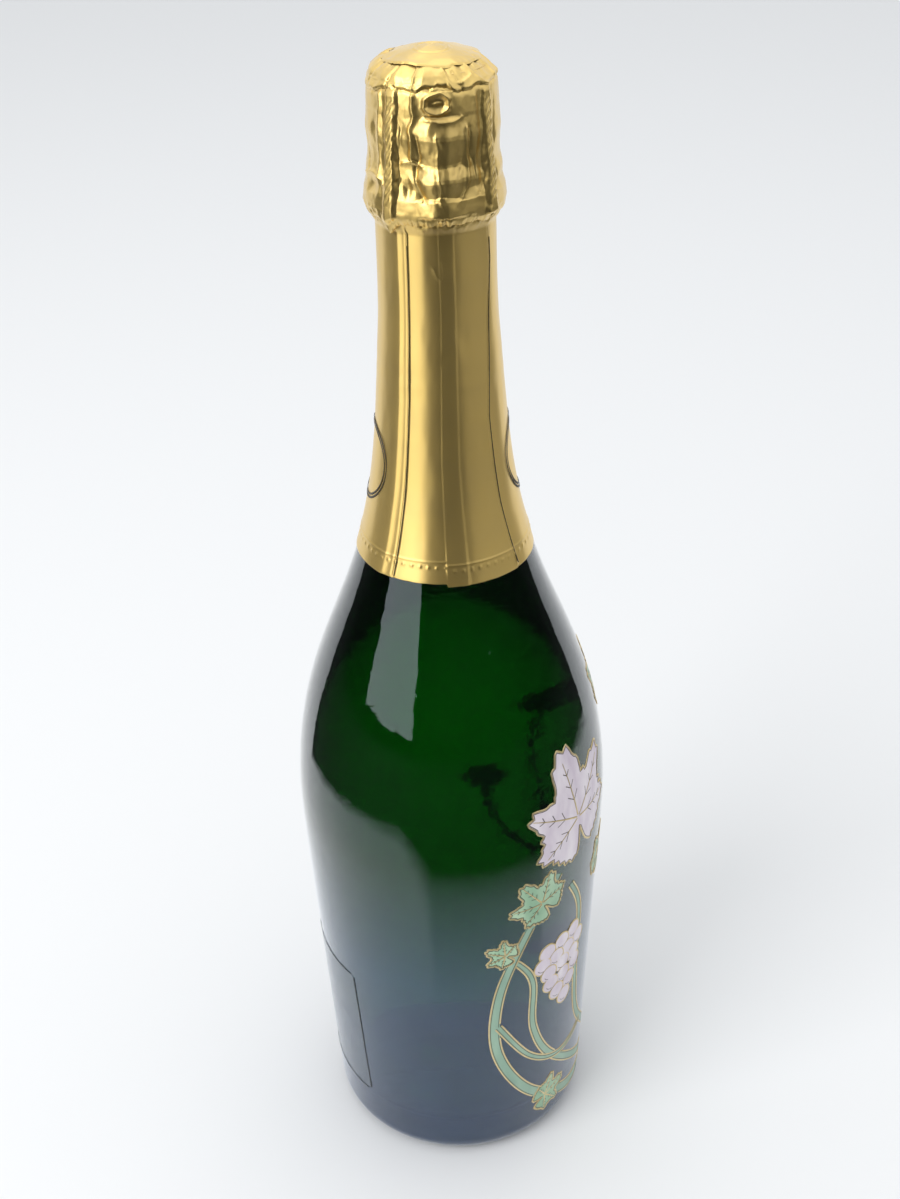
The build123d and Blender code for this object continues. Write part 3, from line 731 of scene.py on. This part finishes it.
# %% [markdown]
# ## The skirt
# The skirt is the smooth part of the capsule. It is a sheet that laps over itself along a
# seam on the camera's side, and the slack is pressed flat in pleats. A line and a row of dots
# are embossed just above its lower edge, and its torn upper edge flares out under the ring.
# The radius of the smooth sheet is found by shooting rays at the CAD solid between its
# pleats, so both always have the same shape.

# %% The skirt's outline
SKIRT_COLUMNS = 560
SKIRT_ROWS = 420
SKIRT_LOW = 203.4
SKIRT_HIGH = 296.0
SKIRT_RADIUS = 18.0
PLAIN_TURN = radians(-100)
skirt_tree = BVHTree.FromObject(nodes["foil_skirt"], depsgraph)


def skirt_radius(height):
    """The CAD skirt's outer radius at a height, in millimetres."""
    outward = toward(CAMERA_ANGLE + PLAIN_TURN)
    hit = skirt_tree.ray_cast(outward * 0.06 + Vector((0, 0, height * MM)), -outward)
    return hypot(hit[0].x, hit[0].y) / MM


heights = np.linspace(SKIRT_LOW, 294.5, 60)
radii = np.array([skirt_radius(h) for h in heights])
column_up = np.concatenate(([SKIRT_LOW] * 2, np.linspace(SKIRT_LOW, SKIRT_HIGH, SKIRT_ROWS)))
turn = turns(SKIRT_COLUMNS, len(column_up))
up = np.tile(column_up[:, None], (1, SKIRT_COLUMNS))
radius = np.interp(up, heights, radii)
print("the skirt's radius goes from", round(radii[0], 1), "to", round(radii[-1], 1), "mm")

# %% Seam, pleats and embossing
LINE_HIGH, DOT_HIGH = 0.13, 0.14
DOT_PITCH, DOTS_BELOW_LINE = 1.8, 1.4
skirt = Relief(turn + 0.25 * mottle(turn, up, 40, 9.0, 31), up, SKIRT_RADIUS)
seam_turn = np.interp(up, (200, 235, 260, 273, 290), (0.5, -1.2, 0.6, 1.8, 1.2))
right_of_seam = around(turn - seam_turn)
over_seam = ease(right_of_seam / 0.9)
lap = over_seam * (1 - ease((right_of_seam - 13.5) / 2.5)) * (np.abs(right_of_seam) < 60)
skirt.height += lap * np.interp(up, (203, 207, 214, 296), (0.2, 0.16, 0.07, 0.06))
pleats = (
    ((-28, 293), (-28, 287), (-28.5, 250), (-31, 225), (-34.6, 204)),
    ((56, 293), (57.9, 285), (44.5, 245), (47, 222), (52.3, 204)),
    ((141, 293), (139, 260), (144, 230), (142, 204)),
    ((-122, 293), (-125, 260), (-120, 230), (-124, 204)))
for pleat in pleats:
    skirt.fold(0.34, 0.22, 2.2, *pleat, sharp=1.6)
    skirt.fold(-0.12, 0.5, 0.2, *((t - 1.6, z) for t, z in pleat), sharp=1.6)
skirt.fold(0.36, 1.0, 3.4, *((t - 10.0, z) for t, z in pleats[0]), sharp=1.8)
line_up = np.interp(turn, (-180, 0, 1, 180), (209.0, 209.0, 208.1, 208.1))
skirt.height += LINE_HIGH * hump(up - line_up, 0.24)
dots = np.maximum(np.cos(around(turn) * skirt.girth * 2 * pi / DOT_PITCH), 0)
skirt.height += DOT_HIGH * dots * hump(up - line_up + DOTS_BELOW_LINE, 0.4)
skirt.dent(-0.16, 5, 262, 1.2, 1.8)
skirt.fold(0.1, 0.4, 0.6, (-3, 284.5), (0, 282.5), (4, 281.8), (7, 283), (5, 286))
skirt.dent(-0.1, 24, 266, 1.5, 3.5)
skirt.dent(-0.1, -55, 240, 2.5, 6)
skirt.height += 0.035 * mottle(turn, up, 22, 12.0, 32) + 0.018 * mottle(turn, up, 60, 5.0, 33)
print("the skirt has", len(pleats), "pleats")

# %% The skirt's two edges, and its mesh
flare = ease((up - 292.4) / 3.0)
flutes = 0.16 * mottle(turn, up, 60, 2.0, 34) + 0.1 * mottle(turn, up, 150, 0.8, 35)
radius = radius + skirt.height + flare * (1.15 + flutes)
drop = -0.85 * over_seam * (1 - ease((right_of_seam - 80) / 90))
drop += 0.05 * mottle(turn, up * 0, 90, 1.0, 36)
fall = ease((SKIRT_LOW + 4 - up) / 4)
edge_up = up + drop * fall + 0.18 * flare * mottle(turn, up * 0, 120, 1.0, 37)
radius[0] -= 0.3
radius[1] -= 0.06
edge_up[1] -= 0.03
foil_skirt = wrap("capsule_skirt", turn, radius, edge_up)
dress(foil_skirt, skirt_gold)
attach(foil_skirt, "bottle")
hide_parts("foil_skirt")
print("the skirt's edge hangs", round(float(SKIRT_LOW - edge_up.min()), 2), "mm lower by the seam")

# %% [markdown]
# ## Rings on the skirt
# Two plain round fields are printed on the skirt, one to each side, each with a double line
# round it. Along each pleat a dark line of painted shade marks the crease. A line in this
# file is a bead: a low strip that follows points on a surface. It could be painted into the
# foil's colour instead, but a mesh keeps a line this fine sharp. On a wrapped surface it is
# enough to know the surface's radius at each height.

# %% Beads on a round surface
REFERENCE_RADIUS = 45.0


def sideways(along):
    """Steps of length 1 to the left of the steps along a run."""
    aside = np.stack((-along[:, 1], along[:, 0]), axis=1)
    return aside / np.maximum(np.hypot(*aside.T), 1e-6)[:, None]


class Wrapped:
    """A surface round the axis. Points on it are mm to the right, at 45 mm, and mm up."""

    def __init__(self, middle, heights, radii):
        self.middle, self.heights, self.radii = middle, heights, radii

    def point(self, across, up, lift=0.0):
        angle = CAMERA_ANGLE + radians(self.middle) + across / REFERENCE_RADIUS
        radius = float(np.interp(up, self.heights, self.radii)) + lift
        return toward(angle, radius * MM, up * MM)

    def bead(self, made, points, width, lift, closed=False, base=0.02):
        """Adds a low rounded strip along points, which may taper, to a list of parts."""
        points = np.array(points, float)
        before = np.roll(points, 1, axis=0)
        after = np.roll(points, -1, axis=0)
        if not closed:
            before[0], after[-1] = points[0], points[-1]
        flank = lift * 0.75
        section = ((-0.5, base), (-0.36, flank), (0.0, lift), (0.36, flank), (0.5, base))
        rows = []
        widths = np.broadcast_to(width, len(points))
        for point, aside, wide in zip(points, sideways(after - before), widths):
            rows.append([self.point(*(point + aside * wide * at), rise) for at, rise in section])
        made.append(strip(rows, closed))


# %% The two rings, and painted shade along the pleats
RING_UP = 229.8
ring_and_crease_shade_lines = []
for middle in (-86, 97):
    on_skirt = Wrapped(middle, heights, radii + 0.12)
    for size in (10.9, 10.0):
        circle = []
        for angle in np.linspace(0, 2 * pi, 90, endpoint=False):
            high = RING_UP + size * sin(angle)
            girth = np.interp(high, heights, radii) / REFERENCE_RADIUS
            circle.append((size * cos(angle) / girth, high))
        on_skirt.bead(ring_and_crease_shade_lines, circle, 0.62, 0.12, closed=True)
# One near-black finish serves the printed rings and the painted shade along the pleats.
print_and_crease_shade = Finish("print_and_crease_shade", Roughness=0.45)
ink_and_shade_tone = print_and_crease_shade.noise(print_and_crease_shade.place(), 900.0)
print_and_crease_shade.paint(Base_Color=print_and_crease_shade.colour(ink_and_shade_tone, (0.02, 0.016, 0.01), (0.06, 0.045, 0.02)))
# Each pleat gets a dark bead of painted shade that follows its crease.
for pleat in pleats:
    middle = pleat[0][0]
    on_skirt = Wrapped(middle, heights, radii + 0.34)
    ups = np.linspace(290, 204, 90)
    at_turns = np.interp(ups, [z for _, z in pleat[::-1]], [t for t, _ in pleat[::-1]])
    pleat_shade_line = [(radians(t - middle + 0.2) * REFERENCE_RADIUS, z) for t, z in zip(at_turns, ups)]
    on_skirt.bead(ring_and_crease_shade_lines, pleat_shade_line, 0.5, 0.06, base=-0.12)
skirt_rings_and_crease_shade = joined("skirt_rings_and_crease_shade", ring_and_crease_shade_lines)
dress(skirt_rings_and_crease_shade, print_and_crease_shade)
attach(skirt_rings_and_crease_shade, "bottle")
# The pleats' lines counted here are painted shade, not cut edges.
print("the skirt has", len(ring_and_crease_shade_lines), "printed lines and cut edges")

# %% [markdown]
# ## The enamelled vine
# The front of the bottle is painted by hand with enamel: flat fields of pale green and pale
# lilac, each with a gold line round it and a fine dark line inside the gold. The design here
# is a grapevine, with canes that swing out in loops, lobed leaves, bunches of grapes and
# tendrils. Enamel stands out from the glass by a tenth of a millimetre, so each field is a
# thin mesh that follows the bottle. A field is filled with small triangles between its
# outline and points inside it, because a large flat one would cut into the curve. What lies
# on top is drawn first, and a line stops where a shape that was drawn before covers it.

# %% The glass that carries the vine
glass_tree = BVHTree.FromObject(nodes["bottle"], depsgraph)
glass_heights = np.concatenate((np.linspace(1.0, 10.0, 10), np.linspace(14.0, 200.0, 63)))
glass_radii = []
for height in glass_heights:
    hit = glass_tree.ray_cast(toward(0.3, 0.07, height * MM), -toward(0.3))
    glass_radii.append(hypot(hit[0].x, hit[0].y) / MM)
FRONT_TURN = 95
ENAMEL = 0.10
front_glass = Wrapped(FRONT_TURN, glass_heights, glass_radii)
gold_lines, dark_lines, leaf_fields, grape_fields = [], [], [], []
covers = []
FIELD_STEP = 1.7
print("the vine's glass is up to", round(max(glass_radii) * 2, 1), "mm wide")


# %% Lines and fields of enamel
def around_point(across, up, reach, angle):
    """The points at a reach and an angle, or at many of them, from a point."""
    return np.stack((across + reach * np.cos(angle), up + reach * np.sin(angle)), axis=-1)


def smooth_run(points, count):
    """Points along a smooth curve that goes through some points."""
    p = np.array([points[0], *points, points[-1]], float)
    where = np.linspace(0, len(points) - 1.0001, count)
    k, f = where.astype(int), (where % 1)[:, None]
    a, b, c, d = p[k], p[k + 1], p[k + 2], p[k + 3]
    square, cube = 2 * a - 5 * b + 4 * c - d, 3 * b - a - 3 * c + d
    return 0.5 * (2 * b + (c - a) * f + square * f**2 + cube * f**3)


def shrunk(outline, distance):
    """A closed outline drawn in by a distance."""
    along = np.roll(outline, -1, axis=0) - np.roll(outline, 1, axis=0)
    return outline + sideways(along) * distance


def inside(points, outline):
    """Which points lie inside a closed outline."""
    low, high = outline.min(axis=0), outline.max(axis=0)
    found = ((points > low) & (points < high)).all(axis=1)
    if found.any():
        x, y = points[found, 0][:, None], points[found, 1][:, None]
        (x1, y1), (x2, y2) = outline.T, np.roll(outline, -1, axis=0).T
        level = np.where(y1 == y2, 1.0, y2 - y1)
        crossed = ((y1 > y) != (y2 > y)) & (x < (x2 - x1) * (y - y1) / level + x1)
        found[found] = crossed.sum(axis=1) % 2 == 1
    return found


def draw(made, points, width, lift, closed=False, base=0.02):
    """A bead along those points that nothing drawn before covers."""
    points = np.asarray(points)
    hidden = np.zeros(len(points), bool)
    for outline in covers:
        hidden |= inside(points, outline)
    widths = np.broadcast_to(width, len(points))
    if not hidden.any():
        front_glass.bead(made, points, widths, lift, closed, base)
        return
    if closed:
        start = int(np.argmax(hidden))
        points, hidden, widths = (np.roll(v, -start, axis=0) for v in (points, hidden, widths))
    shown = np.flatnonzero(~hidden)
    for part in np.split(shown, np.flatnonzero(np.diff(shown) > 1) + 1):
        if len(part) > 2:
            front_glass.bead(made, points[part], widths[part], lift, False, base)


def field(fields, outline, lift=ENAMEL):
    """A flat field of enamel inside an outline that runs anticlockwise."""
    low, high = outline.min(axis=0), outline.max(axis=0)
    across, up = (np.arange(low[side] + 1, high[side], FIELD_STEP) for side in (0, 1))
    grid = np.stack(np.meshgrid(across, up), -1)
    flat = [Vector(p) for p in np.concatenate((outline, grid.reshape(-1, 2)))]
    verts, _, faces, *_ = delaunay_2d_cdt(flat, [], [list(range(len(outline)))], 1, 1e-5)
    fields.append(([front_glass.point(v.x, v.y, lift) for v in verts], faces))


def lined(outline, width=0.62):
    """The gold line and the dark line round a closed outline."""
    draw(gold_lines, outline, width, 0.2, closed=True)
    draw(dark_lines, shrunk(outline, 0.45), 0.3, 0.16, closed=True)


# %% Leaves
LOBES = ((90, 1.0, 30), (36, 0.9, 27), (144, 0.9, 27), (-16, 0.72, 28), (196, 0.72, 28),
         (-58, 0.52, 24), (238, 0.52, 24))
LEAF_POINTS = 150
LEAF_BODY = 0.62
VEIN_POINTS = 14
TWIG = radians(42)


def leaf(across, up, size, tilt, seed, fields=leaf_fields):
    """A lobed vine leaf with toothed edges and veins, whose stalk joins at its middle."""
    rng = np.random.default_rng(seed)
    angles = np.linspace(-90, 270, LEAF_POINTS, endpoint=False)
    reach = np.full(LEAF_POINTS, LEAF_BODY)
    for middle, length, width in LOBES:
        lobe = length * rng.uniform(0.92, 1.06) * np.exp(-(((angles - middle) / width) ** 2) * 0.8)
        reach = np.maximum(reach, lobe)
    teeth = 1 - 0.1 * np.abs((angles / 11.0) % 1 * 2 - 1)
    reach = reach * teeth * size
    for notch in (-90, 270):
        reach *= 1 - 0.75 * hump(angles - notch, 9)
    outline = around_point(across, up, reach, np.radians(angles + tilt))
    field(fields, outline)
    lined(outline)
    for middle, length, _ in LOBES[:5]:
        tip = radians(middle + tilt)
        bend = radians(rng.uniform(-7, 7))
        share = np.linspace(0.04, 1, VEIN_POINTS)
        vein = around_point(across, up, size * length * 0.84 * share, tip + bend * share)
        draw(gold_lines, vein, np.linspace(0.6, 0.25, VEIN_POINTS), 0.18, base=ENAMEL)
        for step in (4, 7, 10):
            far = size * 0.13 * (1.3 - step / VEIN_POINTS) * np.array((0, 0.5, 1))
            for twig in (tip - TWIG, tip + TWIG):
                side_vein = around_point(*vein[step], far, twig)
                draw(dark_lines, side_vein, 0.26, 0.15, base=ENAMEL)
    covers.append(outline)


# %% Grapes
GRAPE_POINTS = 26
GRAPE_DOME = ((1.0, 0.0), (0.8, 0.07), (0.5, 0.13), (0.02, 0.16))


def bunch(across, up, size, rows, tilt, seed):
    """A hanging bunch of grapes: domed discs in rows, the lowest row first."""
    rng = np.random.default_rng(seed)
    turned = radians(tilt)
    angles = np.linspace(0, 2 * pi, GRAPE_POINTS, endpoint=False)
    for row, count in enumerate(rows):
        for place in range(count):
            x = (place - (count - 1) / 2) * size * 1.78 + rng.uniform(-0.12, 0.12) * size
            y = row * size * 1.5 + rng.uniform(-0.12, 0.12) * size
            cx = across + x * cos(turned) - y * sin(turned)
            cy = up + x * sin(turned) + y * cos(turned)
            lift = 0.03 * ((row + place) % 2)
            verts = []
            for share, rise in GRAPE_DOME:
                for point in around_point(cx, cy, size * share, angles):
                    verts.append(front_glass.point(*point, ENAMEL + lift + rise))
            tip = list(range(len(verts) - GRAPE_POINTS, len(verts)))
            grape_fields.append((verts, grid_faces(len(GRAPE_DOME), GRAPE_POINTS) + [tip]))
            outline = around_point(cx, cy, size, angles)
            draw(gold_lines, outline, 0.5, 0.24 + lift, closed=True)
            gleam = around_point(cx, cy, size * 0.62, np.linspace(3.6, 4.9, 7))
            draw(dark_lines, gleam, 0.24, 0.28 + lift, base=ENAMEL + 0.1)
            covers.append(outline)


# %% Canes and tendrils
cane_fields = []
CANE_LIFT, CANE_BELOW = 0.075, 0.002
TENDRIL_POINTS = 60


def cane(points, start, end, count=90):
    """A green cane that tapers between two widths, with a gold line along each side."""
    run = smooth_run(points, count)
    aside = sideways(np.gradient(run, axis=0))
    half = np.linspace(start, end, count)[:, None] / 2
    lift = CANE_LIFT - CANE_BELOW * len(cane_fields)
    rows = []
    for point, out, wide in zip(run, aside, half):
        rows.append([front_glass.point(*(point + out * wide * t), lift) for t in (-1, 0, 1)])
    cane_fields.append(strip(rows))
    left, right = run - aside * half, run + aside * half
    for side, inner in ((left, 0.45), (right, -0.45)):
        draw(gold_lines, side, 0.55, 0.16)
        draw(dark_lines, side + aside * inner, 0.26, 0.12)
    covers.append(np.concatenate((left, right[::-1])))


def tendril(across, up, heading, size, turns, hand):
    """A thin gold spiral, drawn as a run of ever shorter moves."""
    t = np.linspace(0, 1, TENDRIL_POINTS)
    angle = radians(heading) + hand * turns * 2 * pi * t**1.3
    moves = around_point(0, 0, size * (1 - 0.86 * t) / TENDRIL_POINTS * 5, angle)
    run = np.cumsum(moves, axis=0) + (across, up)
    draw(gold_lines, run, np.linspace(0.7, 0.35, TENDRIL_POINTS), 0.17)


# %% The design, from what lies on top to what lies below
lilac_leaves = []
bunch(-36, 58, 3.3, (1, 2, 3, 3, 4, 3), 6, 51)
bunch(46, 30, 3.0, (1, 2, 3, 4, 3), -6, 52)
bunch(14, 76, 3.0, (1, 2, 3, 4, 4, 3), 4, 53)
leaf(-48, 104, 13, 38, 48)
leaf(-34, 128, 25, 12, 41, lilac_leaves)
leaf(-60, 88, 7.5, 60, 49)
leaf(-42, 16, 10, -75, 42)
leaf(2, 154, 15, 4, 44)
leaf(24, 120, 22, -18, 43, lilac_leaves)
leaf(-16, 100, 11, -30, 45)
leaf(8, 40, 13, 30, 46)
leaf(36, 84, 11, -36, 47)
for bud, stalk in (((62, 101), (60, 88)), ((54, 122), (55, 106))):
    leaf(*bud, 4.5, 20, 54)
    cane([(52, 74), stalk, (bud[0], bud[1] - 1)], 0.6, 0.6, 30)
cane([(-62, 58), (-50, 40), (-36, 32), (-20, 34)], 2.4, 1.8, 50)
cane([(-10, 7), (-30, 11), (-50, 24), (-62, 46), (-62, 70), (-54, 92), (-42, 112)], 4.6, 2.8)
cane([(-2, 10), (-20, 18), (-40, 34), (-49, 52), (-50, 72), (-55, 82), (-60, 86)], 3.8, 1.8)
cane([(-6, 20), (-24, 40), (-29, 62), (-30, 90), (-36, 104)], 3.4, 2.2)
cane([(10, 7), (28, 18), (40, 42), (42, 66), (34, 88), (28, 104)], 3.8, 2.4)
cane([(2, 10), (4, 40), (0, 72), (-4, 104), (0, 142)], 3.4, 2.0)
tendril(-55, 90, 150, 1.8, 1.8, -1)
tendril(-60, 42, 200, 2.0, 1.9, -1)
tendril(-20, 34, 20, 2.2, 1.9, 1)
tendril(-30, 80, 40, 2.2, 2.0, 1)
tendril(36, 88, 60, 2.4, 1.9, -1)
tendril(42, 60, 150, 2.4, 1.9, 1)
tendril(-2, 92, 30, 2.4, 1.9, -1)
print("the design has", len(covers), "leaves, grapes and canes")


# %% Enamel finishes and pieces
def enamel(name, low, high, scale):
    """Fired enamel: glossy, with the brush's streaks in its colour."""
    finish = Finish(name, Roughness=0.32, Specular_IOR_Level=0.5)
    where = finish.place()
    streak = finish.noise(finish.stretch(where, (scale, scale, scale * 0.35)), 1.0, 3.0)
    finish.paint(Base_Color=finish.colour(((streak - 0.32) * 2.6).clamp(), low, high))
    finish.bump(streak, 0.03 * MM)
    return finish


green_enamel = enamel("green_enamel", (0.24, 0.42, 0.27), (0.46, 0.62, 0.42), 160.0)
lilac_enamel = enamel("lilac_enamel", (0.58, 0.50, 0.58), (0.76, 0.70, 0.74), 220.0)
cane_enamel = enamel("cane_enamel", (0.19, 0.32, 0.24), (0.33, 0.48, 0.36), 120.0)
dark_enamel = enamel("dark_enamel", (0.03, 0.025, 0.02), (0.09, 0.07, 0.04), 300.0)
line_gold = Finish("line_gold", Metallic=0.85)
line_gold.wear(500.0, 3.0, (0.62, 0.46, 0.20), (0.90, 0.76, 0.46), 0.28, 0.2)
for piece, finish in (
        (joined("vine_leaves", leaf_fields), green_enamel),
        (joined("lilac_leaves", lilac_leaves), lilac_enamel),
        (joined("vine_canes", cane_fields), cane_enamel),
        (joined("vine_gold_lines", gold_lines), line_gold),
        (joined("vine_dark_lines", dark_lines), dark_enamel),
        (joined("vine_grapes", grape_fields), lilac_enamel)):
    dress(piece, finish)
    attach(piece, "bottle")
print("the vine has", len(gold_lines), "gold lines and", len(grape_fields), "grapes")

# %% [markdown]
# ## The label
# The back label is a clear film with a fine dark line round it, and it is left bare. The
# film takes its finish by place: near its edges, which lie at known distances from the
# middle of the back, it is dark and opaque, and elsewhere it only dulls the glass a little.
# The line could be a mesh too, but it has no thickness to show, so the finish can draw it.

# %% Finish the label
LABEL_EDGE = 0.35 * MM
low_corner, high_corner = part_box("back_label")
film = Finish("label_film", Roughness=0.3)
spot = film.node("SeparateXYZ", Vector=film.place())
wide = spot["X"].math("ABSOLUTE")
edge = wide.math("GREATER_THAN", high_corner.x - LABEL_EDGE)
edge = edge.math("MAXIMUM", spot["Z"].math("GREATER_THAN", high_corner.z - LABEL_EDGE))
edge = edge.math("MAXIMUM", spot["Z"].math("LESS_THAN", low_corner.z + LABEL_EDGE))
cloud = film.noise(film.place(), 260.0, 3.0)
film.paint(Base_Color=film.colour(edge, (0.30, 0.34, 0.36), (0.01, 0.012, 0.012)),
           Alpha=(0.07 + 0.05 * cloud).math("MAXIMUM", 0.8 * edge))
dress(nodes["back_label"], film)
print("the label is", round((high_corner.z - low_corner.z) / MM, 1), "mm tall")

# %% [markdown]
# ## Cork, cap and wires
# These are hidden until the capsule is opened. The mushroom of the cork is pressed from
# granules, so each granule has its own brown, and the two discs at the wine are whole cork
# with dark pores that run one way. The cap is tinplate with a raised ring, and the cage's
# wires are galvanised. The solids have the forms of all these but the cap, so they only need
# a finish. The cap's ring and rolled rim are finer, so it is turned again from an outline.

# %% Cork
granules = Finish("cork_granules", Roughness=0.85)
where = granules.place()
cell = granules.node("TexVoronoi", Vector=where, Scale=620.0)
brown = granules.noise(where, 900.0, 3.0)
tint = granules.node("SeparateColor", Color=cell["Color"])["Red"]
granules.paint(Base_Color=granules.ramp(
    0.7 * tint + 0.3 * brown,
    (0.0, (0.30, 0.17, 0.08)), (0.45, (0.56, 0.38, 0.21)), (1.0, (0.74, 0.56, 0.36))))
granules.bump(cell["Distance"], 0.2 * MM)
dress(nodes["cork_body"], granules)

whole = Finish("whole_cork", Roughness=0.8)
grain = whole.noise(whole.stretch(whole.place(), (160.0, 900.0, 900.0)), 1.0, 4.0, 0.6)
pores = whole.noise(whole.stretch(whole.place(), (300.0, 1500.0, 600.0)), 1.0, 2.0)
whole.paint(Base_Color=whole.ramp(
    grain * 0.7 + pores * 0.3,
    (0.33, (0.28, 0.15, 0.07)), (0.42, (0.62, 0.43, 0.25)), (0.7, (0.75, 0.56, 0.36))))
whole.bump(grain, 0.15 * MM)
dress(nodes["cork_disc_upper"], whole)
dress(nodes["cork_disc_lower"], whole)
print("the cork has", len([name for name in nodes if name.startswith("cork")]), "pieces")

# %% Cap and wires
galvanised = Finish("cage_wire", Metallic=1.0)
galvanised.wear(700.0, 3.0, (0.56, 0.56, 0.55), (0.78, 0.77, 0.74), 0.25, 0.25)
for name in WIRES:
    dress(nodes[name], galvanised)

lacquer = Finish("cap_plate", Metallic=1.0)
lacquer.wear(400.0, 4.0, (0.80, 0.55, 0.18), (0.88, 0.66, 0.28), 0.2, 0.15)
CAP_COLUMNS = 180
cap_line = np.array([
    (0.02, 332.2), (3.6, 331.93), (3.9, 332.02), (4.3, 331.98), (4.6, 331.78), (7.5, 331.0),
    (10.2, 329.75), (11.4, 328.95), (12.0, 328.7), (12.7, 328.75), (12.95, 328.55), (12.8, 328.3),
    (12.4, 328.42), (11.8, 328.45), (10.0, 329.45), (7.4, 330.72), (0.02, 331.9)])
cap_r, cap_z = (np.tile(cap_line[:, [side]], (1, CAP_COLUMNS)) for side in (0, 1))
cap = wrap("cap_plate", turns(CAP_COLUMNS, len(cap_line)), cap_r, cap_z)
dress(cap, lacquer)
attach(cap, "cage")
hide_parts("cage_cap")
print("the cap is", round(float(cap_line[:, 0].max()) * 2, 1), "mm wide")
